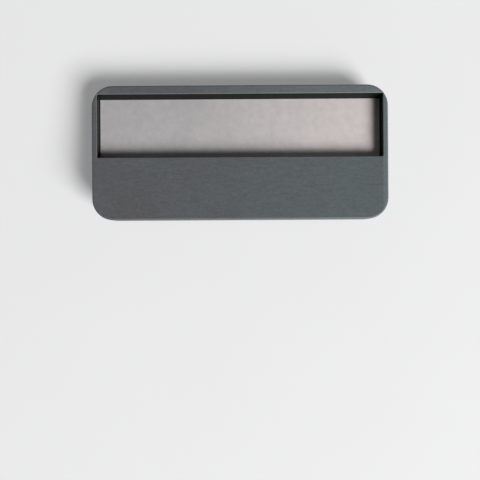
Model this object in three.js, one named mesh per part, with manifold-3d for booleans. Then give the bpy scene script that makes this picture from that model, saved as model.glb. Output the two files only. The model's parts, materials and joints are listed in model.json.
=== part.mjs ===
// A plastic name badge, lying face up on its two pocket clips. Millimetres, +Z up.
// It is modelled flat: +X to the right and +Y to the window's side, seen from the front, with z = 0 on the
// back of the back moulding and the clips and pin below it. The whole badge is then turned onto its clips.
import * as THREE from "three";
import { mergeVertices } from "three/addons/utils/BufferGeometryUtils.js";
import Module from "manifold-3d";

// Outline shared by the face plate and the back moulding
const BADGE_WIDTH = 75;
const BADGE_HEIGHT = 34;
const CORNER_RADIUS = 5.3;
const FACE_THICKNESS = 3.0;
const BACK_THICKNESS = 1.5;
const EDGE_BEVEL = 0.3;

// Gap kept between two pieces that seat on each other
const SEAT_GAP = 0.3;

// Window in the face plate, and the label that fills it
const WINDOW_SIDE_MARGIN = 1.35;
const WINDOW_TOP_MARGIN = 2.2;
const WINDOW_HEIGHT = 16;
const WINDOW_CORNER_RADIUS = 0.3;
const LABEL_THICKNESS = 0.4;

// Pocket clips: each arm springs from a root near the lower edge and points to the window's side
const CLIP_FROM_END = 6.65;
const CLIP_ROOT_MARGIN = 2.9;
const CLIP_ROOT_LEAN = 0.8;
const CLIP_TIP_MARGIN = 2.7;
const CLIP_HEIGHT = 4.9;
const CLIP_TIP_HEIGHT = 1.5;
const CLIP_FLARE = 0.5;
const CLIP_FLARE_LENGTH = 5.0;
const CLIP_THICKNESS = 1.25;
const CLIP_WIDTH = 3.7;
const CLIP_DRAFT = 0.35;
const CLIP_BEND_RADIUS = 2.3;
const CLIP_LEAST_INNER_RADIUS = 0.3;
const CLIP_TIP_RADIUS = 0.45;

// Slot through the back moulding under each arm
const SLOT_SIDE_CLEARANCE = 1.55;
const SLOT_TOP_MARGIN = 1.0;
const SLOT_TO_ROOT = 5.4;
const SLOT_CORNER_RADIUS = 0.3;

// Tongue that pushes the label out, rooted on the +X side, and the clearances of the opening round it
const TONGUE_ROOT_X = 7.6;
const TONGUE_LENGTH = 17.5;
const TONGUE_ROOT_WIDTH = 7.6;
const TONGUE_TIP_WIDTH = 7.1;
const TONGUE_CORNER_RADIUS = 0.4;
const TONGUE_SIDE_CLEARANCE = 2.05;
const TONGUE_END_CLEARANCE = 3.3;
const OPENING_BULGE = 1.9;
const OPENING_TOP_MARGIN = 2.0;
const HINGE_GROOVE_OFFSET = 0.85;
const HINGE_GROOVE_WIDTH = 0.85;
const HINGE_GROOVE_DEPTH = 0.7;

// Pin, which lies between two blocks on the back
const PIN_DIAMETER = 0.9;
const PIN_FROM_LOWER_EDGE = 6.8;
const PIN_OFF_BACK = 1.55;
const PIN_POINT_LENGTH = 4.5;
const PIN_POINT_DIAMETER = 0.16;
const PIN_COVER = 0.25;
const BLOCK_DRAFT = 0.4;

// Block that holds the pin's fixed end
const SOCKET_X = -17.8;
const SOCKET_LENGTH = 6.2;
const SOCKET_WIDTH = 3.8;
const SOCKET_DEPTH = 3.4;

// Block that catches the pin's point in a channel, under a lip, with a notch to lead the pin in
const CATCH_X = 16.0;
const CATCH_LENGTH = 5.9;
const CATCH_WIDTH = 4.6;
const CATCH_CHANNEL_LENGTH = 4.4;
const CATCH_END_CLEARANCE = 0.8;
const CATCH_LIP = 0.25;
const CATCH_NOTCH_LENGTH = 2.1;
const CATCH_NOTCH_WIDTH = 0.9;

// Facets
const ARC_SEGMENTS = 8;
const BEVEL_SEGMENTS = 2;
const WIRE_SIDES = 12;

// The most of a wall that one of its two corner rounds may take
const ROUND_SHARE = 0.45;

// How far a cutting solid passes through the faces that it opens, and a joined one sinks into its neighbour
const CUT_OVERRUN = 1;
const JOIN_DEPTH = 0.4;

const MERGE_DISTANCE = 1e-4;

const halfWidth = BADGE_WIDTH / 2;
const halfHeight = BADGE_HEIGHT / 2;

const wasm = await Module();
wasm.setup();

function solidOf(geometry) {
  const bare = new THREE.BufferGeometry();
  bare.setAttribute("position", geometry.getAttribute("position"));
  bare.setIndex(geometry.index);
  const merged = mergeVertices(bare, MERGE_DISTANCE);
  return new wasm.Manifold(
    new wasm.Mesh({
      numProp: 3,
      vertProperties: merged.attributes.position.array,
      triVerts: new Uint32Array(merged.index.array),
    }),
  );
}

function geometryOf(solid) {
  const mesh = solid.getMesh();
  const indexed = new THREE.BufferGeometry();
  indexed.setAttribute("position", new THREE.BufferAttribute(mesh.vertProperties, 3));
  indexed.setIndex(new THREE.BufferAttribute(mesh.triVerts, 1));
  const faceted = indexed.toNonIndexed();
  faceted.computeVertexNormals();
  return faceted;
}

// A closed outline through corners [x, y, radius], each rounded by its own radius.
function roundedOutline(corners) {
  const outline = new THREE.Shape();
  corners.forEach(([x, y, radius], i) => {
    const corner = new THREE.Vector2(x, y);
    const back = new THREE.Vector2(...corners.at(i - 1)).sub(corner).normalize();
    const on = new THREE.Vector2(...corners[(i + 1) % corners.length]).sub(corner).normalize();
    const halfAngle = Math.acos(back.dot(on)) / 2;
    const inset = radius / Math.tan(halfAngle);
    const start = back.clone().multiplyScalar(inset).add(corner);
    const end = on.clone().multiplyScalar(inset).add(corner);
    if (i === 0) outline.moveTo(start.x, start.y);
    else outline.lineTo(start.x, start.y);
    if (radius === 0) return;
    const centre = back.clone().add(on).setLength(radius / Math.sin(halfAngle)).add(corner);
    const clockwise = back.cross(on) > 0;
    const startAngle = start.sub(centre).angle();
    const endAngle = end.sub(centre).angle();
    outline.absarc(centre.x, centre.y, radius, startAngle, endAngle, clockwise);
  });
  outline.closePath();
  return outline;
}

function rectangle(left, bottom, right, top, radius) {
  return roundedOutline([
    [left, bottom, radius],
    [right, bottom, radius],
    [right, top, radius],
    [left, top, radius],
  ]);
}

// An outline in the plane of the badge, extruded from one z to another.
function plateBetween(low, high, outline) {
  const geometry = new THREE.ExtrudeGeometry(outline, {
    depth: high - low,
    bevelEnabled: false,
    curveSegments: ARC_SEGMENTS,
  });
  return solidOf(geometry.translate(0, 0, low));
}

// A box given by its lowest and highest corners.
function boxBetween([left, bottom, low], [right, top, high]) {
  const geometry = new THREE.BoxGeometry(right - left, top - bottom, high - low);
  return geometry.translate((left + right) / 2, (bottom + top) / 2, (low + high) / 2);
}

// The badge's outline as a plate with both of its rims bevelled.
function badgeBetween(low, high) {
  const outline = rectangle(-halfWidth, -halfHeight, halfWidth, halfHeight, CORNER_RADIUS);
  const geometry = new THREE.ExtrudeGeometry(outline, {
    depth: high - low - 2 * EDGE_BEVEL,
    bevelEnabled: true,
    bevelThickness: EDGE_BEVEL,
    bevelSize: EDGE_BEVEL,
    bevelOffset: -EDGE_BEVEL,
    bevelSegments: BEVEL_SEGMENTS,
    curveSegments: ARC_SEGMENTS,
  });
  return solidOf(geometry.translate(0, 0, low + EDGE_BEVEL));
}

function namedMesh(name, solid, material) {
  const mesh = new THREE.Mesh(geometryOf(solid), material);
  mesh.name = name;
  return mesh;
}

const faceBack = BACK_THICKNESS + SEAT_GAP;
const faceFront = faceBack + FACE_THICKNESS;
const windowRight = halfWidth - WINDOW_SIDE_MARGIN;
const windowTop = halfHeight - WINDOW_TOP_MARGIN;
const windowBottom = windowTop - WINDOW_HEIGHT;

function makeFacePlate() {
  const outline = rectangle(-windowRight, windowBottom, windowRight, windowTop, WINDOW_CORNER_RADIUS);
  const windowCutter = plateBetween(faceBack - CUT_OVERRUN, faceFront + CUT_OVERRUN, outline);
  const solid = badgeBetween(faceBack, faceFront).subtract(windowCutter);
  const material = new THREE.MeshStandardMaterial({ color: 0x5a5e62, roughness: 0.5, metalness: 0.15 });
  return namedMesh("face_plate", solid, material);
}

function makeLabelInsert() {
  const right = windowRight - SEAT_GAP;
  const top = windowTop - SEAT_GAP;
  const outline = rectangle(-right, windowBottom + SEAT_GAP, right, top, WINDOW_CORNER_RADIUS);
  const solid = plateBetween(faceBack, faceBack + LABEL_THICKNESS, outline);
  const material = new THREE.MeshStandardMaterial({ color: 0xb4b0b0, roughness: 0.45, metalness: 0.6 });
  return namedMesh("label_insert", solid, material);
}

// Side view of a clip: s runs from the badge's window-side edge, w outward from its back.
const clipRootS = BADGE_HEIGHT - CLIP_ROOT_MARGIN;
const clipBendS = clipRootS - CLIP_ROOT_LEAN;
const clipElbowS = CLIP_TIP_MARGIN + CLIP_FLARE_LENGTH;
const clipSlope = (CLIP_HEIGHT - CLIP_TIP_HEIGHT) / (clipBendS - clipElbowS);

function clipProfile() {
  const tipRadius = Math.min(CLIP_TIP_RADIUS, ROUND_SHARE * CLIP_THICKNESS);
  const innerRadius = Math.max(CLIP_BEND_RADIUS - CLIP_THICKNESS, CLIP_LEAST_INNER_RADIUS);
  const innerBendS = clipBendS - CLIP_THICKNESS;
  const innerBendW = CLIP_HEIGHT - CLIP_THICKNESS - clipSlope * CLIP_THICKNESS;
  const tipW = CLIP_TIP_HEIGHT + CLIP_FLARE;
  return roundedOutline([
    [clipRootS, -JOIN_DEPTH, 0],
    [clipBendS, CLIP_HEIGHT, CLIP_BEND_RADIUS],
    [clipElbowS, CLIP_TIP_HEIGHT, CLIP_BEND_RADIUS],
    [CLIP_TIP_MARGIN, tipW, tipRadius],
    [CLIP_TIP_MARGIN, tipW - CLIP_THICKNESS, tipRadius],
    [clipElbowS, CLIP_TIP_HEIGHT - CLIP_THICKNESS, CLIP_BEND_RADIUS],
    [innerBendS, innerBendW, innerRadius],
    [clipRootS - CLIP_THICKNESS, -JOIN_DEPTH, 0],
  ]);
}

// The clip's side view extruded across its width, and drawn in towards its outer face by the draft.
function clipArm(centreX) {
  const geometry = new THREE.ExtrudeGeometry(clipProfile(), {
    depth: CLIP_WIDTH,
    bevelEnabled: false,
    curveSegments: ARC_SEGMENTS,
  });
  const position = geometry.getAttribute("position");
  for (let i = 0; i < position.count; i += 1) {
    const s = position.getX(i);
    const w = position.getY(i);
    const side = Math.sign(position.getZ(i) - CLIP_WIDTH / 2);
    const drawnIn = (CLIP_DRAFT * Math.max(w, 0)) / CLIP_HEIGHT;
    position.setXYZ(i, centreX + side * (CLIP_WIDTH / 2 - drawnIn), halfHeight - s, -w);
  }
  return solidOf(geometry);
}

function clipSlot(centreX) {
  const halfSlot = CLIP_WIDTH / 2 + SLOT_SIDE_CLEARANCE;
  const top = halfHeight - SLOT_TOP_MARGIN;
  const bottom = halfHeight - clipRootS + SLOT_TO_ROOT;
  const outline = rectangle(centreX - halfSlot, bottom, centreX + halfSlot, top, SLOT_CORNER_RADIUS);
  return plateBetween(-CUT_OVERRUN, BACK_THICKNESS + CUT_OVERRUN, outline);
}

// The opening, whose far end bulges in one arc, less the tongue that stays in it, with the hinge groove.
function tongueOpening() {
  const top = halfHeight - OPENING_TOP_MARGIN;
  const middle = top - TONGUE_SIDE_CLEARANCE - TONGUE_ROOT_WIDTH / 2;
  const halfOpening = top - middle;
  const tipX = TONGUE_ROOT_X - TONGUE_LENGTH;
  const farX = tipX - TONGUE_END_CLEARANCE;
  const arcRadius = (OPENING_BULGE ** 2 + halfOpening ** 2) / (2 * OPENING_BULGE);
  const arcX = farX - OPENING_BULGE + arcRadius;
  const halfArc = Math.asin(halfOpening / arcRadius);
  const opening = new THREE.Shape();
  opening.moveTo(TONGUE_ROOT_X, middle - halfOpening);
  opening.lineTo(TONGUE_ROOT_X, top);
  opening.lineTo(farX, top);
  opening.absarc(arcX, middle, arcRadius, Math.PI - halfArc, Math.PI + halfArc, false);
  opening.closePath();
  const tongue = roundedOutline([
    [TONGUE_ROOT_X + CUT_OVERRUN, middle - TONGUE_ROOT_WIDTH / 2, 0],
    [TONGUE_ROOT_X + CUT_OVERRUN, middle + TONGUE_ROOT_WIDTH / 2, 0],
    [tipX, middle + TONGUE_TIP_WIDTH / 2, TONGUE_CORNER_RADIUS],
    [tipX, middle - TONGUE_TIP_WIDTH / 2, TONGUE_CORNER_RADIUS],
  ]);
  const grooveRight = TONGUE_ROOT_X - HINGE_GROOVE_OFFSET;
  const groove = boxBetween(
    [grooveRight - HINGE_GROOVE_WIDTH, middle - halfOpening, -CUT_OVERRUN],
    [grooveRight, top, HINGE_GROOVE_DEPTH],
  );
  return plateBetween(-CUT_OVERRUN, BACK_THICKNESS + CUT_OVERRUN, opening)
    .subtract(plateBetween(-2 * CUT_OVERRUN, BACK_THICKNESS + 2 * CUT_OVERRUN, tongue))
    .add(solidOf(groove));
}

const pinY = -halfHeight + PIN_FROM_LOWER_EDGE;
const pinZ = -PIN_OFF_BACK - PIN_DIAMETER / 2;
const halfChannel = PIN_DIAMETER / 2 + SEAT_GAP;
const blockTop = pinZ - halfChannel - PIN_COVER;
const socketMouthX = SOCKET_X + SOCKET_LENGTH / 2;
const catchMouthX = CATCH_X - CATCH_LENGTH / 2;

// A block on the back, its sides drawn in by the draft towards its outer face.
function draftedBlock(centreX, length, width) {
  const geometry = boxBetween(
    [centreX - length / 2, pinY - width / 2, blockTop],
    [centreX + length / 2, pinY + width / 2, JOIN_DEPTH],
  );
  const position = geometry.getAttribute("position");
  for (let i = 0; i < position.count; i += 1) {
    if (position.getZ(i) < 0) continue;
    const x = position.getX(i);
    const y = position.getY(i);
    position.setX(i, x + Math.sign(x - centreX) * BLOCK_DRAFT);
    position.setY(i, y + Math.sign(y - pinY) * BLOCK_DRAFT);
  }
  return solidOf(geometry);
}

function socketBlock() {
  const innerEnd = socketMouthX - SOCKET_DEPTH - SEAT_GAP;
  const outerEnd = socketMouthX + BLOCK_DRAFT + CUT_OVERRUN;
  const bore = new THREE.CylinderGeometry(halfChannel, halfChannel, outerEnd - innerEnd, WIRE_SIDES);
  bore.rotateZ(Math.PI / 2);
  bore.translate((innerEnd + outerEnd) / 2, pinY, pinZ);
  return draftedBlock(SOCKET_X, SOCKET_LENGTH, SOCKET_WIDTH).subtract(solidOf(bore));
}

function catchBlock() {
  const openX = catchMouthX - BLOCK_DRAFT - CUT_OVERRUN;
  const channelEndX = catchMouthX + CATCH_CHANNEL_LENGTH;
  const upper = pinY + halfChannel;
  const lower = pinY - halfChannel;
  const channel = boxBetween([openX, lower, pinZ - halfChannel], [channelEndX, upper, pinZ + halfChannel]);
  const way = boxBetween([openX, lower + CATCH_LIP, blockTop - CUT_OVERRUN], [channelEndX, upper, pinZ]);
  const notch = boxBetween(
    [openX, pinY, blockTop - CUT_OVERRUN],
    [catchMouthX + CATCH_NOTCH_LENGTH, upper + CATCH_NOTCH_WIDTH, pinZ],
  );
  return draftedBlock(CATCH_X, CATCH_LENGTH, CATCH_WIDTH)
    .subtract(solidOf(channel))
    .subtract(solidOf(way))
    .subtract(solidOf(notch));
}

function makeBackPlate() {
  let solid = badgeBetween(0, BACK_THICKNESS).subtract(tongueOpening());
  for (const side of [-1, 1]) {
    const centreX = side * (halfWidth - CLIP_FROM_END);
    solid = solid.subtract(clipSlot(centreX)).add(clipArm(centreX));
  }
  solid = solid.add(socketBlock()).add(catchBlock());
  const material = new THREE.MeshStandardMaterial({ color: 0x39373a, roughness: 0.55, metalness: 0 });
  return namedMesh("back_plate", solid, material);
}

// The wire as one turned profile along its axis, from its end in the socket to its point in the catch.
function makePin() {
  const startX = socketMouthX - SOCKET_DEPTH;
  const pointX = catchMouthX + CATCH_CHANNEL_LENGTH - CATCH_END_CLEARANCE;
  const length = pointX - startX;
  const profile = [
    new THREE.Vector2(0, 0),
    new THREE.Vector2(PIN_DIAMETER / 2, 0),
    new THREE.Vector2(PIN_DIAMETER / 2, length - PIN_POINT_LENGTH),
    new THREE.Vector2(PIN_POINT_DIAMETER / 2, length),
    new THREE.Vector2(0, length),
  ];
  const geometry = new THREE.LatheGeometry(profile, WIRE_SIDES);
  geometry.rotateZ(-Math.PI / 2);
  geometry.translate(startX, pinY, pinZ);
  const material = new THREE.MeshStandardMaterial({ color: 0xa9a29a, roughness: 0.3, metalness: 1 });
  return namedMesh("pin", solidOf(geometry), material);
}

const badge = new THREE.Group();
badge.add(makeFacePlate(), makeLabelInsert(), makeBackPlate(), makePin());

// The badge rests on the flared tips and the bends of its arms: its tilt is the angle of the one line that
// touches the round of the tip and the round of the bend, with the whole arm on one side of it.
function restingTilt() {
  const points = clipProfile().getPoints(ARC_SEGMENTS);
  const tipPoints = points.filter((point) => point.x < halfHeight);
  const bendPoints = points.filter((point) => point.x >= halfHeight);
  const slope = (tip, bend) => Math.atan2(bend.y - tip.y, bend.x - tip.x);
  const steepest = (tip) => Math.max(...bendPoints.map((bend) => slope(tip, bend)));
  return Math.min(...tipPoints.map(steepest));
}

badge.rotation.x = -restingTilt();
const bounds = new THREE.Box3().setFromObject(badge, true);
const centre = bounds.getCenter(new THREE.Vector3());
badge.position.set(-centre.x, -centre.y, -bounds.min.z);

const part = new THREE.Group();
part.add(badge);

export default part;
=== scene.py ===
import json
import math

import bmesh
import bpy
from mathutils import Matrix, Vector


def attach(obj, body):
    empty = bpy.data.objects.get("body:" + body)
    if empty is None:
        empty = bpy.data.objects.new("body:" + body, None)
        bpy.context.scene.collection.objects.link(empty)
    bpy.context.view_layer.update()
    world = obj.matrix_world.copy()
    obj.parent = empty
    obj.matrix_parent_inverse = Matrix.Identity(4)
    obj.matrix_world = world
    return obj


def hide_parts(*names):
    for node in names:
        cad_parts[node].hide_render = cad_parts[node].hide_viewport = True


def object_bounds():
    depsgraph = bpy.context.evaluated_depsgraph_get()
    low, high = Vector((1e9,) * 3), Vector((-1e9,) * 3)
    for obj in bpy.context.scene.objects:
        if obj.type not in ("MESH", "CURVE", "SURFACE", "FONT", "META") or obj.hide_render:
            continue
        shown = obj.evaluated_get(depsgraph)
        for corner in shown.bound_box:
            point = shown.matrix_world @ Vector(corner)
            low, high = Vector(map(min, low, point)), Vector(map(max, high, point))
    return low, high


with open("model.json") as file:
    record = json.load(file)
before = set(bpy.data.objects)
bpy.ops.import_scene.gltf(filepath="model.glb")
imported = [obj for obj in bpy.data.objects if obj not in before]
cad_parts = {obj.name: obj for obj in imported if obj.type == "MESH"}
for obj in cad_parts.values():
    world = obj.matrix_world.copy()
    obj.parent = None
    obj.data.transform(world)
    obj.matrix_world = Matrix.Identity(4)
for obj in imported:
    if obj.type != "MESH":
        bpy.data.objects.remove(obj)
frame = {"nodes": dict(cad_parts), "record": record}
cad_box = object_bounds()


# Face plate
# The front moulding, slate-grey plastic with a satin, stippled front and rounded corners and rim. A long
# window goes through it, with bare black walls, and its top wall slopes in over a groove for the label's
# edge. It is glued to the back moulding, and only a fine groove shows round the badge where they meet.
MM = 0.001
RIM_STEPS = 4
ARC_STEPS = 10
FLAT_HOLD = 0.03
SMOOTH_ANGLE = math.radians(32)
CORNER_RADIUS = 5.3
FACE_UNDERSIDE = 1.8
PARTING_Z = 1.65
FACE_RIM_ROUND = 0.4
GROOVE_ROUND = 0.2
WINDOW_SIDE_MARGIN = 1.35
WINDOW_TOP_MARGIN = 2.2
WINDOW_HEIGHT = 16.0
WINDOW_CORNER_RADIUS = 0.3
WINDOW_EDGE_ROUND = 0.2
WINDOW_TOP_SLOPE = 0.68
CARD_GROOVE_MARGIN = 1.65
CARD_CLEARANCE = 0.04
CUT_LIFT = 0.004
CUT_OVERRUN = 1.0

# A span is from where to where along X a colour changes. Tones are how far a noise darkens and lightens it.
SLATE_LEFT = (0.106, 0.106, 0.112, 1)
SLATE_RIGHT = (0.102, 0.123, 0.13, 1)
SLATE_SPAN = (-45, 45)
SLATE_DRIFT = (-0.2, 0.2)
STIPPLE_TONES = (0.84, 1.16)
STREAK_TONES = (0.92, 1.08)
CLOUD_TONES = (0.98, 1.02)
# Painted sheen: the front of the frame above the window and beside its right end is painted up to 30%
# lighter, more so towards the right, for light falling from the right.
FRAME_SHEEN_BLEND = 0.2
FRAME_SHEEN_SPAN = (-20, 22)
FRAME_SHEEN_START_DEPTH = 0.8
FRAME_SHEEN_FULL_DEPTH = 0.3
FRAME_SHEEN_GAIN = 1.3
BARE_BLACK = (0.0052, 0.0055, 0.0062, 1)
NOISE_LOW = 0.3
NOISE_HIGH = 0.7

face_axis = frame["record"]["mounts"][0]["axis"]
lean = Matrix.Rotation(-math.atan2(face_axis[1], face_axis[2]), 4, "X")


def box_within(place, node):
    """The node's lowest and highest corners, in millimetres as seen from the given place."""
    points = [place.inverted() @ vertex.co / MM for vertex in frame["nodes"][node].data.vertices]
    low = Vector([min(point[axis] for point in points) for axis in range(3)])
    high = Vector([max(point[axis] for point in points) for axis in range(3)])
    return low, high


# Where the flat badge lies. Its own millimetres run from its middle, with z = 0 on its back and +Y towards
# the window's side.
plate_low, plate_high = box_within(lean, "face_plate")
middle = (plate_low + plate_high) / 2
flat_place = lean @ Matrix.Translation(Vector((middle.x, middle.y, plate_low.z - FACE_UNDERSIDE)) * MM)
plate_low, plate_high = box_within(flat_place, "face_plate")


def rounded_outline(corners):
    """Points round a closed outline through corners (x, y, radius), each rounded off by its arc."""
    points = []
    for i, (x, y, radius) in enumerate(corners):
        corner = Vector((x, y))
        if radius == 0:
            points.append(corner)
            continue
        back = (Vector(corners[i - 1][:2]) - corner).normalized()
        on = (Vector(corners[(i + 1) % len(corners)][:2]) - corner).normalized()
        half = back.angle(on) / 2
        centre = corner + (back + on).normalized() * radius / math.sin(half)
        start = corner + back * radius / math.tan(half) - centre
        sweep = math.copysign(math.pi - 2 * half, -back.cross(on))
        for step in range(ARC_STEPS + 1):
            points.append(centre + Matrix.Rotation(sweep * step / ARC_STEPS, 2) @ start)
    return points


def rounded_rectangle(left, bottom, right, top, radius):
    corners = ((left, bottom), (right, bottom), (right, top), (left, top))
    return rounded_outline([(x, y, radius) for x, y in corners])


def moved_left(loop, distance):
    """The closed loop moved to its own left, mitred at its corners."""
    moved = []
    for i, point in enumerate(loop):
        before = (point - loop[i - 1]).normalized()
        after = (loop[(i + 1) % len(loop)] - point).normalized()
        left = Vector((-before.y - after.y, before.x + after.x))
        moved.append(point + left * distance / (1 + before.dot(after)))
    return moved


def quarter_turn():
    return [math.pi / 2 * step / RIM_STEPS for step in range(RIM_STEPS + 1)]


def rim_profile(low, high, round_low, round_high):
    """Steps (inset, z) up a wall, from the lower flat's edge by the two rounds to the upper flat's edge."""
    lower = [
        (round_low * (1 - math.sin(angle)), low + round_low * (1 - math.cos(angle)))
        for angle in quarter_turn()
    ]
    upper = [
        (round_high * (1 - math.cos(angle)), high - round_high * (1 - math.sin(angle)))
        for angle in quarter_turn()
    ]
    return [(round_low + FLAT_HOLD, low), *lower, *upper, (round_high + FLAT_HOLD, high)]


def ringed_wall(bm, outline, profile):
    """Rings of vertices along the outline at each (inset, z) of the profile, joined by quads."""
    rings = [[bm.verts.new((*point, z)) for point in moved_left(outline, inset)] for inset, z in profile]
    for lower, upper in zip(rings, rings[1:]):
        for i in range(len(lower)):
            bm.faces.new((lower[i - 1], lower[i], upper[i], upper[i - 1]))
    return rings


def plate(loops, low, high):
    """A flat moulding. Each loop (points, lower round, upper round) has its material on its left."""
    bm = bmesh.new()
    walls = [ringed_wall(bm, points, rim_profile(low, high, below, above)) for points, below, above in loops]
    for end in (0, -1):
        rings = [wall[end] for wall in walls]
        edges = [bm.edges.get((ring[i - 1], ring[i])) for ring in rings for i in range(len(ring))]
        bmesh.ops.triangle_fill(bm, edges=edges, use_beauty=True)
    bmesh.ops.recalc_face_normals(bm, faces=bm.faces)
    return bm


def stack(outline, profile):
    """A closed solid whose wall follows the profile of (inset, z), with a flat at each end."""
    bm = bmesh.new()
    rings = ringed_wall(bm, outline, profile)
    bm.faces.new(rings[0])
    bm.faces.new(rings[-1])
    bmesh.ops.recalc_face_normals(bm, faces=bm.faces)
    return bm


def turned(bm, place):
    """The mesh with each of its points moved by the function."""
    for vertex in bm.verts:
        vertex.co = place(vertex.co)
    bm.normal_update()
    bmesh.ops.recalc_face_normals(bm, faces=bm.faces)
    return bm


def loose_object(bm):
    """The mesh as an object of its own, to cut or be cut."""
    mesh = bpy.data.meshes.new("loose")
    bm.to_mesh(mesh)
    bm.free()
    loose = bpy.data.objects.new("loose", mesh)
    bpy.context.scene.collection.objects.link(loose)
    return loose


def cut(bm, *cutters):
    """The mesh with each of the cutters' meshes cut out of it."""
    body = loose_object(bm)
    tools = [loose_object(cutter) for cutter in cutters]
    for tool in tools:
        modifier = body.modifiers.new("Cut", "BOOLEAN")
        modifier.operation = "DIFFERENCE"
        modifier.solver = "EXACT"
        modifier.object = tool
    evaluated = body.evaluated_get(bpy.context.evaluated_depsgraph_get())
    result = bmesh.new()
    result.from_mesh(evaluated.to_mesh())
    evaluated.to_mesh_clear()
    for loose in (body, *tools):
        bpy.data.objects.remove(loose)
    return result


def finished_piece(name, bm, materials, node):
    """The flat millimetre mesh laid where the badge lies, in metres, standing for its CAD node."""
    bm.normal_update()
    mesh = bpy.data.meshes.new(name)
    bm.to_mesh(mesh)
    bm.free()
    mesh.transform(flat_place @ Matrix.Scale(MM, 4))
    mesh.shade_smooth()
    mesh.set_sharp_from_angle(angle=SMOOTH_ANGLE)
    for material in materials:
        mesh.materials.append(material)
    piece = bpy.data.objects.new(name, mesh)
    bpy.context.scene.collection.objects.link(piece)
    flats = piece.modifiers.new("Flats stay flat", "WEIGHTED_NORMAL")
    flats.keep_sharp = True
    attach(piece, "root")
    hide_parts(node)


class Finish:
    """A material being made: its nodes, its shader, and the flat badge's millimetres to pattern it by."""

    def __init__(self, name):
        self.material = bpy.data.materials.new(name)
        self.material.use_nodes = True
        self.tree = self.material.node_tree
        self.shader = self.tree.nodes["Principled BSDF"]
        flatten = flat_place.inverted()
        coordinates = self.add("ShaderNodeTexCoord").outputs["Object"]
        self.place = self.add(
            "ShaderNodeMapping",
            {
                "Vector": coordinates,
                "Location": flatten.to_translation() / MM,
                "Rotation": flatten.to_euler(),
                "Scale": (1 / MM, 1 / MM, 1 / MM),
            },
        ).outputs[0]

    def feed(self, node, inputs):
        for key, value in inputs.items():
            if isinstance(value, bpy.types.NodeSocket):
                self.tree.links.new(value, node.inputs[key])
            else:
                node.inputs[key].default_value = value

    def add(self, kind, inputs=None, **settings):
        made = self.tree.nodes.new(kind)
        for key, value in settings.items():
            setattr(made, key, value)
        self.feed(made, inputs or {})
        return made

    def shade(self, **inputs):
        """Sets the shader's inputs, whose names are written with underscores for spaces."""
        self.feed(self.shader, {key.replace("_", " "): value for key, value in inputs.items()})

    def noise(self, per_mm, squeeze=(1, 1, 1), detail=2, roughness=0.5):
        """Noise with so many features in a millimetre, squeezed along each axis by the given factors."""
        squeezed = self.add("ShaderNodeVectorMath", {0: self.place, 1: squeeze}, operation="MULTIPLY")
        inputs = {"Vector": squeezed.outputs[0], "Scale": per_mm, "Detail": detail, "Roughness": roughness}
        return self.add("ShaderNodeTexNoise", inputs).outputs["Fac"]

    def ranged(self, value, low, high, from_low=NOISE_LOW, from_high=NOISE_HIGH):
        """The value spread from one range over another, and held at its ends."""
        inputs = {"Value": value, "From Min": from_low, "From Max": from_high, "To Min": low, "To Max": high}
        return self.add("ShaderNodeMapRange", inputs).outputs["Result"]

    def along(self, axis, low, high):
        """How far the place is from low to high along one of the flat badge's axes, from 0 to 1."""
        split = self.add("ShaderNodeSeparateXYZ", {0: self.place})
        return self.ranged(split.outputs[axis], 0, 1, low, high)

    def maths(self, operation, first, second):
        return self.add("ShaderNodeMath", {0: first, 1: second}, operation=operation).outputs[0]

    def product(self, first, *others):
        """All the values multiplied together."""
        for other in others:
            first = self.maths("MULTIPLY", first, other)
        return first

    def mixed(self, factor, first, second):
        """The two colours mixed by the factor."""
        made = self.add("ShaderNodeMix", data_type="RGBA")
        factor_input, first_input, second_input, colour_output = 0, 6, 7, 2
        self.feed(made, {factor_input: factor, first_input: first, second_input: second})
        return made.outputs[colour_output]

    def brightened(self, colour, factor):
        return self.add("ShaderNodeHueSaturation", {"Color": colour, "Value": factor}).outputs[0]

    def bump(self, height, depth_mm, normal=None):
        inputs = {"Height": height, "Distance": depth_mm * MM}
        if normal:
            inputs["Normal"] = normal
        return self.add("ShaderNodeBump", inputs).outputs[0]


def slate_finish():
    slate = Finish("slate_satin_plastic")
    stipple = slate.noise(per_mm=1.5, squeeze=(0.8, 1.3, 1), detail=4, roughness=0.8)
    streaks = slate.noise(per_mm=1.5, squeeze=(0.22, 1.4, 1), detail=3, roughness=0.65)
    clouds = slate.noise(per_mm=0.11)
    # Painted sheen: the frame's front above and right of the window, painted lighter towards the right.
    above_window = slate.along("Y", window_top - FRAME_SHEEN_BLEND, window_top + FRAME_SHEEN_BLEND)
    beside_window = slate.along("X", window_right - FRAME_SHEEN_BLEND, window_right + FRAME_SHEEN_BLEND)
    painted_frame_sheen = slate.product(
        slate.maths("MAXIMUM", above_window, beside_window),
        slate.along("X", *FRAME_SHEEN_SPAN),
        slate.along("Z", face_front - FRAME_SHEEN_START_DEPTH, face_front - FRAME_SHEEN_FULL_DEPTH),
    )
    tone = slate.product(
        slate.ranged(stipple, *STIPPLE_TONES),
        slate.ranged(streaks, *STREAK_TONES),
        slate.ranged(clouds, *CLOUD_TONES),
        slate.ranged(painted_frame_sheen, 1, FRAME_SHEEN_GAIN, 0, 1),
    )
    left_to_right = slate.maths("ADD", slate.along("X", *SLATE_SPAN), slate.ranged(clouds, *SLATE_DRIFT))
    fine = slate.bump(slate.noise(per_mm=9), depth_mm=0.008)
    slate.shade(
        Base_Color=slate.brightened(slate.mixed(left_to_right, SLATE_LEFT, SLATE_RIGHT), tone),
        Roughness=slate.ranged(streaks, 0.48, 0.55),
        Specular_IOR_Level=0.4,
        Normal=slate.bump(stipple, depth_mm=0.02, normal=fine),
    )
    return slate.material


def bare_finish():
    bare = Finish("bare_black_plastic")
    bare.shade(
        Base_Color=BARE_BLACK,
        Roughness=bare.ranged(bare.noise(per_mm=2.0, squeeze=(1, 1, 0.2)), 0.38, 0.5),
        Specular_IOR_Level=0.18,
        Normal=bare.bump(bare.noise(per_mm=6), depth_mm=0.004),
    )
    return bare.material


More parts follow.
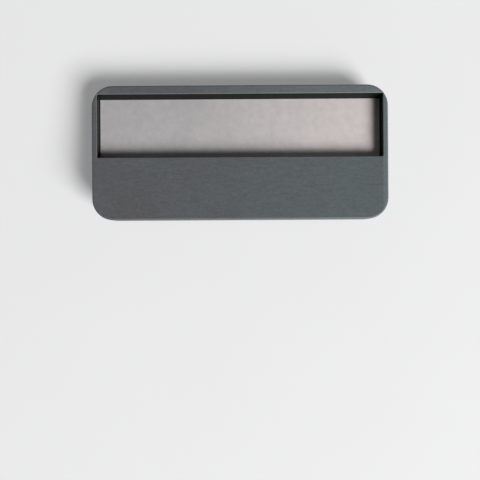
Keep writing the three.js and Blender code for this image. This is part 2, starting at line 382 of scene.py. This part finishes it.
half_width, half_height, face_front = plate_high
window_right = half_width - WINDOW_SIDE_MARGIN
window_top = half_height - WINDOW_TOP_MARGIN
window_bottom = window_top - WINDOW_HEIGHT
badge_outline = rounded_rectangle(-half_width, -half_height, half_width, half_height, CORNER_RADIUS)
window_outline = rounded_rectangle(
    -window_right, window_bottom, window_right, window_top, WINDOW_CORNER_RADIUS
)
edge_foot = face_front - WINDOW_EDGE_ROUND
window_edge = [
    (-WINDOW_EDGE_ROUND * (1 - math.cos(angle)), edge_foot + WINDOW_EDGE_ROUND * math.sin(angle) + CUT_LIFT)
    for angle in quarter_turn()
]
label_front = box_within(flat_place, "label_insert")[1].z
groove_ceiling = label_front + CARD_CLEARANCE
window_sides = [(0, label_front), *window_edge, (-WINDOW_EDGE_ROUND, face_front + CUT_OVERRUN)]


def sloped_at_top(point):
    """A point of the window's cutter, moved so that its top wall leans in towards the label."""
    if point.y < (window_top + window_bottom) / 2:
        return point
    depth = max(edge_foot - point.z, 0) / (edge_foot - label_front)
    return point - Vector((0, WINDOW_TOP_SLOPE * depth, 0))


groove_top = half_height - CARD_GROOVE_MARGIN
groove_outline = rounded_rectangle(
    -window_right, window_bottom, window_right, groove_top, WINDOW_CORNER_RADIUS
)
blank = plate([(badge_outline, GROOVE_ROUND, FACE_RIM_ROUND)], PARTING_Z, face_front)
window_cutter = turned(stack(window_outline, window_sides), sloped_at_top)
groove_cutter = stack(groove_outline, [(0, PARTING_Z - CUT_OVERRUN), (0, groove_ceiling)])
face_bm = cut(blank, window_cutter, groove_cutter)
for face in face_bm.faces:
    x, y, z = face.calc_center_median()
    in_window = abs(x) < window_right + CUT_LIFT and window_bottom - CUT_LIFT < y < window_top + CUT_LIFT
    is_underside = max(vertex.co.z for vertex in face.verts) < PARTING_Z + FLAT_HOLD
    face.material_index = int(is_underside or (in_window and z < edge_foot))
bare_black = bare_finish()
finished_piece("face_plate_moulding", face_bm, [slate_finish(), bare_black], "face_plate")


# Label
# A thin card with a smooth silver-grey front and a white back, which fills the window and lies on the back
# moulding at the bottom of it, its top edge held in the groove. It is the blank that a name is printed on.
LABEL_SIDE_GAP = 0.1
LABEL_BOTTOM_GAP = 0.05
LABEL_CORNER_RADIUS = 0.2
LABEL_ROUND = 0.05
LABEL_LIFT = 0.01
# Painted light: the silver front is painted darker on the left and lighter on the right, for light falling
# from the right.
SILVER_PAINTED_SHADE_LEFT = (0.45, 0.435, 0.44, 1)
SILVER_PAINTED_LIGHT_RIGHT = (0.7, 0.635, 0.622, 1)
SILVER_PAINTED_LIGHT_SPAN = (-14, 36)
SILVER_DRIFT = (-0.1, 0.1)
PATCH_TONES = (0.95, 1.05)
GRAIN_TONES = (0.98, 1.02)
CARD_WHITE = (0.83, 0.83, 0.82, 1)
FIBRE_TONES = (0.97, 1.0)


def silver_finish():
    silver = Finish("silver_label_face")
    clouds = silver.noise(per_mm=0.09, detail=3)
    patches = silver.noise(per_mm=0.7, detail=3, roughness=0.6)
    grain = silver.noise(per_mm=5)
    # Painted light: darker to the left, lighter to the right.
    left_to_right = silver.maths("ADD", silver.along("X", *SILVER_PAINTED_LIGHT_SPAN), silver.ranged(clouds, *SILVER_DRIFT))
    tone = silver.product(silver.ranged(patches, *PATCH_TONES), silver.ranged(grain, *GRAIN_TONES))
    silver.shade(
        Base_Color=silver.brightened(silver.mixed(left_to_right, SILVER_PAINTED_SHADE_LEFT, SILVER_PAINTED_LIGHT_RIGHT), tone),
        Specular_IOR_Level=0.2,
        Roughness=silver.ranged(grain, 0.66, 0.72),
        Normal=silver.bump(grain, depth_mm=0.002),
    )
    return silver.material


def card_finish():
    card = Finish("white_card_back")
    fibres = card.noise(per_mm=3, detail=4, roughness=0.7)
    card.shade(
        Base_Color=card.brightened(CARD_WHITE, card.ranged(fibres, *FIBRE_TONES)),
        Roughness=0.8,
        Normal=card.bump(fibres, depth_mm=0.01),
    )
    return card.material


label_right = window_right - LABEL_SIDE_GAP
label_top = groove_top - LABEL_SIDE_GAP
label_bottom = window_bottom + LABEL_BOTTOM_GAP
label_outline = rounded_rectangle(-label_right, label_bottom, label_right, label_top, LABEL_CORNER_RADIUS)
label_bm = plate([(label_outline, LABEL_ROUND, LABEL_ROUND)], PARTING_Z + LABEL_LIFT, label_front)
for face in label_bm.faces:
    face.material_index = int(face.calc_center_median().z < label_front - LABEL_ROUND)
finished_piece("label_card", label_bm, [silver_finish(), card_finish()], "label_insert")


# Back moulding
# A flat black plate as big as the face, matte from a fine spark texture. A slot goes through it under each
# pocket clip. A push-out tongue, which presses on the label, stands in a wider opening, hinged on a groove
# across its root and thinned at its tip.
BACK_RIM_ROUND = 0.28
SLOT_EDGE_ROUND = 0.1
CLIP_FROM_END = 6.65
SLOT_HALF_WIDTH = 3.4
SLOT_TOP_MARGIN = 1.0
SLOT_LENGTH = 24.7
SLOT_CORNER_RADIUS = 0.3
TONGUE_ROOT_X = 7.6
TONGUE_TIP_X = -9.9
TONGUE_ROOT_WIDTH = 7.6
TONGUE_TIP_WIDTH = 7.1
TONGUE_CORNER_RADIUS = 0.4
OPENING_TOP_MARGIN = 2.0
OPENING_SIDE = 2.05
OPENING_END = 3.3
OPENING_BULGE = 1.9
BULGE_STEPS = 24
HINGE_GROOVE = (5.9, 6.75)
HINGE_GROOVE_DEPTH = 0.7
HINGE_GROOVE_ROUND = 0.18
TIP_CHAMFER_LENGTH = 1.2
TIP_CHAMFER_DEPTH = 0.4
CUTTER_ROUND = 0.02
MOULD_BLACK = (0.0152, 0.0102, 0.0158, 1)
MOULD_GREY = (0.0245, 0.0192, 0.0262, 1)
MOTTLE_BAND = (0.36, 0.64)
SPARK_TONES = (0.92, 1.09)
SCUFF_TONES = (0.86, 1.16)
# The paler colour of the scuffs, and of the clips' painted highlight at the tip and painted sheen at the
# bend.
SCUFF_AND_SHEEN_PALE = (0.075, 0.07, 0.07, 1)
SCUFF_BAND = (0.64, 0.72)


def mould_finish(name, gloss, sheen_and_rub=None):
    """The black plastic, mottled and lightly scuffed. The last argument, if given, is a function that adds
    to the paler marks and the surface; for the clips it adds wear and painted highlights.
    """
    black = Finish(name)
    clouds = black.noise(per_mm=0.4, detail=5, roughness=0.68)
    spark = black.noise(per_mm=4.5, detail=3, roughness=0.7)
    scuffs = black.noise(per_mm=0.8, squeeze=(0.5, 2.6, 1), detail=4, roughness=0.7)
    marks_and_sheen = black.ranged(scuffs, 0, 1, *SCUFF_BAND)
    mottled = black.mixed(black.ranged(clouds, 0, 1, *MOTTLE_BAND), MOULD_BLACK, MOULD_GREY)
    tone = black.product(black.ranged(spark, *SPARK_TONES), black.ranged(scuffs, *SCUFF_TONES))
    fine = black.bump(black.noise(per_mm=11), depth_mm=0.008)
    surface = black.bump(spark, depth_mm=0.014, normal=fine)
    if sheen_and_rub:
        marks_and_sheen, surface = sheen_and_rub(black, clouds, marks_and_sheen, surface)
    black.shade(
        Base_Color=black.mixed(marks_and_sheen, black.brightened(mottled, tone), SCUFF_AND_SHEEN_PALE),
        Roughness=black.ranged(spark, *gloss),
        Specular_IOR_Level=0.3,
        Normal=surface,
    )
    return black.material


def bar_across(corners, low_y, high_y):
    """A cutter with the outline (x, z, radius), running across the badge between the two edges."""
    bar = plate([(rounded_outline(corners), CUTTER_ROUND, CUTTER_ROUND)], low_y, high_y)
    return turned(bar, lambda point: Vector((point.x, point.z, point.y)))


slot_top = half_height - SLOT_TOP_MARGIN
slot_bottom = slot_top - SLOT_LENGTH
clip_centres = (-half_width + CLIP_FROM_END, half_width - CLIP_FROM_END)
slots = [
    rounded_rectangle(x - SLOT_HALF_WIDTH, slot_bottom, x + SLOT_HALF_WIDTH, slot_top, SLOT_CORNER_RADIUS)
    for x in clip_centres
]
opening_top = half_height - OPENING_TOP_MARGIN
tongue_y = opening_top - OPENING_SIDE - TONGUE_ROOT_WIDTH / 2
opening_bottom = 2 * tongue_y - opening_top
half_opening = opening_top - tongue_y
opening_far_x = TONGUE_TIP_X - OPENING_END
bulge_radius = (OPENING_BULGE**2 + half_opening**2) / (2 * OPENING_BULGE)
bulge_x = opening_far_x - OPENING_BULGE + bulge_radius
half_bulge = math.asin(half_opening / bulge_radius)
bulge_angles = [
    math.pi - half_bulge + 2 * half_bulge * step / BULGE_STEPS for step in range(BULGE_STEPS + 1)
]
bulge = [
    (bulge_x + bulge_radius * math.cos(angle), tongue_y + bulge_radius * math.sin(angle), 0)
    for angle in bulge_angles
]
opening = rounded_outline(
    [
        (TONGUE_ROOT_X, opening_top, SLOT_CORNER_RADIUS),
        *bulge,
        (TONGUE_ROOT_X, opening_bottom, SLOT_CORNER_RADIUS),
        (TONGUE_ROOT_X, tongue_y - TONGUE_ROOT_WIDTH / 2, SLOT_CORNER_RADIUS),
        (TONGUE_TIP_X, tongue_y - TONGUE_TIP_WIDTH / 2, TONGUE_CORNER_RADIUS),
        (TONGUE_TIP_X, tongue_y + TONGUE_TIP_WIDTH / 2, TONGUE_CORNER_RADIUS),
        (TONGUE_ROOT_X, tongue_y + TONGUE_ROOT_WIDTH / 2, SLOT_CORNER_RADIUS),
    ]
)
loops = [(badge_outline, BACK_RIM_ROUND, GROOVE_ROUND)]
for hole in (*slots, opening):
    loops.append((hole[::-1], SLOT_EDGE_ROUND, SLOT_EDGE_ROUND))
groove_left, groove_right = HINGE_GROOVE
groove = bar_across(
    [
        (groove_left, -CUT_OVERRUN, 0),
        (groove_right, -CUT_OVERRUN, 0),
        (groove_right, HINGE_GROOVE_DEPTH, HINGE_GROOVE_ROUND),
        (groove_left, HINGE_GROOVE_DEPTH, HINGE_GROOVE_ROUND),
    ],
    opening_bottom + OPENING_SIDE / 2,
    opening_top - OPENING_SIDE / 2,
)
chamfer_slope = TIP_CHAMFER_LENGTH / TIP_CHAMFER_DEPTH
chamfer = bar_across(
    [
        (TONGUE_TIP_X - CUT_OVERRUN, -CUT_OVERRUN, 0),
        (TONGUE_TIP_X + TIP_CHAMFER_LENGTH + CUT_OVERRUN * chamfer_slope, -CUT_OVERRUN, 0),
        (TONGUE_TIP_X - CUT_OVERRUN, TIP_CHAMFER_DEPTH + CUT_OVERRUN / chamfer_slope, 0),
    ],
    opening_bottom + OPENING_SIDE / 2,
    opening_top - OPENING_SIDE / 2,
)
mould_black = mould_finish("moulded_black_plastic", gloss=(0.42, 0.5))
back_bm = cut(plate(loops, 0, PARTING_Z), groove, chamfer)
finished_piece("back_moulding", back_bm, [mould_black], "back_plate")


# Pocket clips
# Two springy arms moulded with the back, each over its slot. An arm rises from a filleted root near the
# lower edge, turns over and runs down towards the plate, and its stippled tip flares out again to ride over
# a hem.
CLIP_ROOT_MARGIN = 2.9
CLIP_ROOT_LEAN = 0.8
CLIP_TIP_MARGIN = 2.7
CLIP_HEIGHT = 4.9
CLIP_TIP_HEIGHT = 1.5
CLIP_FLARE = 0.5
CLIP_FLARE_LENGTH = 5.0
CLIP_THICKNESS = 1.25
CLIP_WIDTH = 3.7
CLIP_DRAFT = 0.35
CLIP_BEND_RADIUS = 2.3
CLIP_TIP_RADIUS = 0.45
CLIP_EDGE_ROUND = 0.2
CLIP_ROOT_FILLET = 0.7
CLIP_SKIRT_TUCK = 0.02
JOIN_DEPTH = 0.4
# Painted highlight: the stippled tip is painted paler. The bend is painted paler for wear and a painted
# sheen.
TIP_HIGHLIGHT_Y = (8.4, 10.4)
TIP_HIGHLIGHT_SHARES = (0, 0.9)
TIP_STIPPLE_BAND = (0.42, 0.64)
BEND_RUB_AND_SHEEN_Y = (-9, -13)
BEND_RUB_AND_SHEEN_SHARES = (0.1, 0.6)

root_along = 2 * half_height - CLIP_ROOT_MARGIN
bend_along = root_along - CLIP_ROOT_LEAN
elbow_along = CLIP_TIP_MARGIN + CLIP_FLARE_LENGTH
clip_slope = (CLIP_HEIGHT - CLIP_TIP_HEIGHT) / (bend_along - elbow_along)
tip_out = CLIP_TIP_HEIGHT + CLIP_FLARE
inner_bend_out = CLIP_HEIGHT - CLIP_THICKNESS - clip_slope * CLIP_THICKNESS


def root_skirt(foot):
    """A skirt round the arm's foot, hollow-curved from the back up to the arm and leaning with it."""
    curve = [
        (-CLIP_ROOT_FILLET * (1 - math.sin(angle)), -CLIP_ROOT_FILLET * (1 - math.cos(angle)))
        for angle in quarter_turn()
    ]
    sides = [(-CLIP_ROOT_FILLET, JOIN_DEPTH / 2), *curve, (CLIP_SKIRT_TUCK, -CLIP_ROOT_FILLET)]
    root_slope = CLIP_ROOT_LEAN / CLIP_HEIGHT
    return turned(stack(foot, sides), lambda point: point + Vector((0, root_slope * max(-point.z, 0), 0)))


def clip_arm(centre_x):
    """The side view (along from the window-side edge, out from the back), given its width and draft."""
    side_view = rounded_outline(
        [
            (root_along, -JOIN_DEPTH, 0),
            (bend_along, CLIP_HEIGHT, CLIP_BEND_RADIUS),
            (elbow_along, CLIP_TIP_HEIGHT, CLIP_BEND_RADIUS),
            (CLIP_TIP_MARGIN, tip_out, CLIP_TIP_RADIUS),
            (CLIP_TIP_MARGIN, tip_out - CLIP_THICKNESS, CLIP_TIP_RADIUS),
            (elbow_along, CLIP_TIP_HEIGHT - CLIP_THICKNESS, CLIP_BEND_RADIUS),
            (bend_along - CLIP_THICKNESS, inner_bend_out, CLIP_BEND_RADIUS - CLIP_THICKNESS),
            (root_along - CLIP_THICKNESS, -JOIN_DEPTH, 0),
        ]
    )
    arm = plate([(side_view, CLIP_EDGE_ROUND, CLIP_EDGE_ROUND)], -CLIP_WIDTH / 2, CLIP_WIDTH / 2)

    def on_badge(point):
        along, out, across = point
        drawn_in = CLIP_DRAFT * max(out, 0) / CLIP_HEIGHT
        return Vector((centre_x + across * (1 - 2 * drawn_in / CLIP_WIDTH), half_height - along, -out))

    return turned(arm, on_badge)


def joined(*parts):
    """The meshes together as one."""
    together = bmesh.new()
    for part in parts:
        mesh = bpy.data.meshes.new("part")
        part.to_mesh(mesh)
        part.free()
        together.from_mesh(mesh)
        bpy.data.meshes.remove(mesh)
    return together


def clip_sheen_and_rub(black, clouds, marks_and_sheen, surface):
    """The marks and the surface, with the stippled tip painted paler as a painted highlight, and the bend
    painted paler for wear and a painted sheen.
    """
    # Painted highlight on the tip; painted sheen with wear on the bend.
    tip = black.along("Y", *TIP_HIGHLIGHT_Y)
    stipple = black.noise(per_mm=2.6, detail=3, roughness=0.8)
    tip_highlight = black.product(black.ranged(stipple, *TIP_HIGHLIGHT_SHARES, *TIP_STIPPLE_BAND), tip)
    bend = black.along("Y", *BEND_RUB_AND_SHEEN_Y)
    bend_rub_and_sheen = black.product(black.ranged(clouds, *BEND_RUB_AND_SHEEN_SHARES, *MOTTLE_BAND), bend)
    marks_and_sheen = black.maths("ADD", marks_and_sheen, black.maths("ADD", tip_highlight, bend_rub_and_sheen))
    return marks_and_sheen, black.bump(black.product(stipple, tip), depth_mm=0.06, normal=surface)


clip_black = mould_finish("moulded_black_clip", gloss=(0.27, 0.36), sheen_and_rub=clip_sheen_and_rub)
foot_bottom = half_height - root_along
foot_top = foot_bottom + CLIP_THICKNESS
for side, centre_x in zip(("left", "right"), clip_centres):
    arm = clip_arm(centre_x)
    foot_left, foot_right = centre_x - CLIP_WIDTH / 2, centre_x + CLIP_WIDTH / 2
    foot = rounded_rectangle(foot_left, foot_bottom, foot_right, foot_top, CLIP_EDGE_ROUND)
    clip_bm = joined(arm, root_skirt(foot))
    finished_piece(f"pocket_clip_{side}", clip_bm, [clip_black], "back_plate")


# Pin blocks
# Two low blocks with drafted sides, moulded on the back. The socket holds the pin's fixed end. The catch
# has a tapered notch, open towards the middle and along its top, that the pin's point is pressed into.
PIN_FROM_LOWER_EDGE = 6.8
PIN_Z = -2.0
PIN_RADIUS = 0.45
BLOCK_HEIGHT = 3.0
BLOCK_DRAFT = 0.4
BLOCK_RIM_ROUND = 0.18
BLOCK_FILLET = 0.3
BLOCK_CORNER_RADIUS = 0.26
SOCKET_X, SOCKET_LENGTH, SOCKET_WIDTH = -17.8, 6.2, 3.8
CATCH_X, CATCH_LENGTH, CATCH_WIDTH = 16.0, 5.9, 4.6
NOTCH_LENGTH = 3.9
NOTCH_END_HALF = 0.27
NOTCH_LOWER, NOTCH_UPPER = 0.95, 1.35
NOTCH_FLOOR = -1.4
NOTCH_CORNER_RADIUS = 0.1
NOTCH_EDGE_ROUND = 0.12
PIN_FIT = 0.02

pin_y = -half_height + PIN_FROM_LOWER_EDGE


def pin_block(centre_x, length, width):
    """A block on the back with a hollow-curved foot, drafted walls and a rounded rim."""

    def drawn_out(height):
        return BLOCK_DRAFT * (BLOCK_HEIGHT - height) / (BLOCK_HEIGHT + JOIN_DEPTH)

    profile = [(-drawn_out(0) - BLOCK_FILLET, JOIN_DEPTH / 2)]
    for angle in quarter_turn():
        height = BLOCK_FILLET * (1 - math.cos(angle))
        profile.append((-drawn_out(height) - BLOCK_FILLET * (1 - math.sin(angle)), -height))
    for angle in quarter_turn():
        height = BLOCK_HEIGHT - BLOCK_RIM_ROUND * (1 - math.sin(angle))
        profile.append((BLOCK_RIM_ROUND * (1 - math.cos(angle)) - drawn_out(height), -height))
    profile.append((BLOCK_RIM_ROUND + FLAT_HOLD, -BLOCK_HEIGHT))
    left, right = centre_x - length / 2, centre_x + length / 2
    outline = rounded_rectangle(left, pin_y - width / 2, right, pin_y + width / 2, BLOCK_CORNER_RADIUS)
    return stack(outline, profile)


mouth_x = CATCH_X - CATCH_LENGTH / 2
notch_end = mouth_x + NOTCH_LENGTH
lower_slope = (NOTCH_LOWER - NOTCH_END_HALF) / NOTCH_LENGTH
upper_slope = (NOTCH_UPPER - NOTCH_END_HALF) / NOTCH_LENGTH
notch_outline = rounded_outline(
    [
        (mouth_x - CUT_OVERRUN, pin_y - NOTCH_LOWER - lower_slope * CUT_OVERRUN, 0),
        (notch_end, pin_y - NOTCH_END_HALF, NOTCH_CORNER_RADIUS),
        (notch_end, pin_y + NOTCH_END_HALF, NOTCH_CORNER_RADIUS),
        (mouth_x - CUT_OVERRUN, pin_y + NOTCH_UPPER + upper_slope * CUT_OVERRUN, 0),
    ]
)
notch_rim = [
    (-NOTCH_EDGE_ROUND * math.sin(angle), NOTCH_EDGE_ROUND * math.cos(angle) - BLOCK_HEIGHT - CUT_LIFT)
    for angle in quarter_turn()
]
notch_sides = [(-NOTCH_EDGE_ROUND, -BLOCK_HEIGHT - CUT_OVERRUN), *notch_rim[::-1], (0, NOTCH_FLOOR)]
catch_bm = cut(pin_block(CATCH_X, CATCH_LENGTH, CATCH_WIDTH), stack(notch_outline, notch_sides))
socket_bm = pin_block(SOCKET_X, SOCKET_LENGTH, SOCKET_WIDTH)
finished_piece("pin_socket", socket_bm, [mould_black], "back_plate")
finished_piece("pin_catch", catch_bm, [mould_black], "back_plate")


# Pin
# One straight drawn steel wire, pressed into the socket block and ground to a slender round point, which
# rests in the catch's notch.
POINT_LENGTH = 4.5
POINT_RADIUS = 0.08
POINT_STEPS = 10
POINT_FULLNESS = 1.6
WIRE_SIDES = 32
STEEL = (0.44, 0.39, 0.36, 1)
DRAWN_TONES = (0.82, 1.05)


def steel_finish():
    steel = Finish("drawn_steel_wire")
    drawn = steel.noise(per_mm=2.4, squeeze=(0.08, 3, 3), detail=3, roughness=0.6)
    steel.shade(
        Base_Color=steel.brightened(STEEL, steel.ranged(drawn, *DRAWN_TONES)),
        Metallic=1.0,
        Roughness=steel.ranged(drawn, 0.34, 0.48),
        Normal=steel.bump(drawn, depth_mm=0.004),
    )
    return steel.material


pin_low, pin_high = box_within(flat_place, "pin")
profile = [(PIN_RADIUS - PIN_FIT, pin_low.x), (PIN_RADIUS, pin_low.x + PIN_FIT)]
for step in range(POINT_STEPS + 1):
    share = step / POINT_STEPS
    radius = POINT_RADIUS + (PIN_RADIUS - POINT_RADIUS) * (1 - share**POINT_FULLNESS)
    profile.append((radius, pin_high.x - POINT_LENGTH + (POINT_LENGTH - POINT_RADIUS) * share))
profile.append((POINT_RADIUS / 2, pin_high.x))
turns = [2 * math.pi * side / WIRE_SIDES for side in range(WIRE_SIDES)]
wire_outline = [Vector((math.cos(angle), math.sin(angle))) * PIN_RADIUS for angle in turns]
wire = stack(wire_outline, [(PIN_RADIUS - radius, x) for radius, x in profile])
wire = turned(wire, lambda point: Vector((point.z, pin_y + point.x, PIN_Z + point.y)))
finished_piece("pin_wire", wire, [steel_finish()], "pin")


# Table, light and camera
# A plain pale table that glows faintly, under a sky that is pale at the horizon and dark overhead. A soft
# box low on the right in front lights it, so that the window's right and lower walls shade the label. The
# camera looks squarely at the plane of the face, from over the table just below the badge.
TABLE_HALF = 6.0
TABLE_CELLS = 8
TABLE_PALE = (0.62, 0.62, 0.625, 1)
TABLE_TONES = (0.985, 1.0)
TABLE_GLOW = 0.35
KEY_DIRECTION = (0.58, -0.55, 0.6)
KEY_DISTANCE = 2.6
KEY_SIZE = 1.22
KEY_POWER = 105.0
SKY_GREY = (0.97, 0.99, 1, 1)
OVERHEAD_STRENGTH = 0.02
HORIZON_STRENGTH = 0.62
HORIZON_FADE = 0.68
CAMERA_POSITION = Vector((-0.17, -22.2, 118.0))
CAMERA_ROLL = math.radians(-0.36)
CAMERA_LENS = 33.63
CAMERA_NEAR = 0.01

table_bm = bmesh.new()
bmesh.ops.create_grid(table_bm, x_segments=TABLE_CELLS, y_segments=TABLE_CELLS, size=TABLE_HALF)
table_mesh = bpy.data.meshes.new("table")
table_bm.to_mesh(table_mesh)
table_bm.free()
table = bpy.data.objects.new("table", table_mesh)
bpy.context.scene.collection.objects.link(table)
pale = Finish("pale_table")
tone = pale.ranged(pale.noise(per_mm=0.02, detail=3), *TABLE_TONES)
pale.shade(
    Base_Color=pale.brightened(TABLE_PALE, tone),
    Roughness=0.9,
    Specular_IOR_Level=0.1,
    Emission_Color=TABLE_PALE,
    Emission_Strength=TABLE_GLOW,
)
table_mesh.materials.append(pale.material)

key_light = bpy.data.lights.new("key", "AREA")
key_light.shape = "SQUARE"
key_light.size = KEY_SIZE
key_light.energy = KEY_POWER
key = bpy.data.objects.new("key", key_light)
towards_key = Vector(KEY_DIRECTION).normalized()
key.location = (cad_box[0] + cad_box[1]) / 2 + towards_key * KEY_DISTANCE
key.rotation_euler = towards_key.to_track_quat("Z", "Y").to_euler()
bpy.context.scene.collection.objects.link(key)

world = bpy.data.worlds.new("room")
world.use_nodes = True
sky = world.node_tree
direction = sky.nodes.new("ShaderNodeTexCoord")
split = sky.nodes.new("ShaderNodeSeparateXYZ")
fade = sky.nodes.new("ShaderNodeMapRange")
fade.interpolation_type = "SMOOTHSTEP"
fade.inputs["From Max"].default_value = HORIZON_FADE
fade.inputs["To Min"].default_value = HORIZON_STRENGTH
fade.inputs["To Max"].default_value = OVERHEAD_STRENGTH
sky.links.new(direction.outputs["Generated"], split.inputs[0])
sky.links.new(split.outputs["Z"], fade.inputs["Value"])
sky.links.new(fade.outputs["Result"], sky.nodes["Background"].inputs["Strength"])
sky.nodes["Background"].inputs["Color"].default_value = SKY_GREY
bpy.context.scene.world = world
bpy.context.scene.view_settings.view_transform = "Standard"

camera_data = bpy.data.cameras.new("camera")
camera_data.lens = CAMERA_LENS
camera_data.clip_start = CAMERA_NEAR
camera = bpy.data.objects.new("camera", camera_data)
camera_place = Matrix.Translation(CAMERA_POSITION * MM) @ Matrix.Rotation(CAMERA_ROLL, 4, "Z")
camera.matrix_world = flat_place @ camera_place
bpy.context.scene.collection.objects.link(camera)
bpy.context.scene.camera = camera
